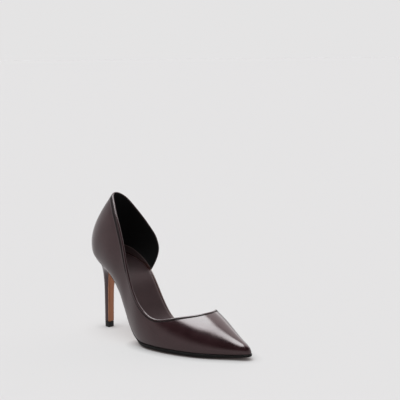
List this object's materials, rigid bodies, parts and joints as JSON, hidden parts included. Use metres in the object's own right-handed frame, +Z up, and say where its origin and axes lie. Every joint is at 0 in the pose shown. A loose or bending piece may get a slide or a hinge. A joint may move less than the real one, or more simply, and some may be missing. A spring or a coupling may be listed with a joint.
{
  "type": "heeled shoe",
  "caption": "Right court shoe with a pointed toe, a slim high heel and an inner side that is cut away between vamp and heel, in dark brown smooth leather.",
  "frame": {"origin": "middle of the shoe's box, on the floor that the shoe stands on", "axes": "+X from the heel to the toe, +Y to the inner side of the foot, +Z up"},
  "size_m": [0.2246, 0.08, 0.1536],
  "materials": {
    "upper": "smooth, glossy",
    "insole": "smooth, glossy",
    "sock": "smooth, satin",
    "outsole": "smooth, satin, with a dark edge",
    "heel": "smooth, glossy",
    "top_lift": "matte"
  },
  "bodies": {
    "root": {"upper": "upper", "insole": "insole", "sock": "sock", "outsole": "outsole", "heel": "heel", "top_lift": "top_lift"}
  },
  "joints": []
}
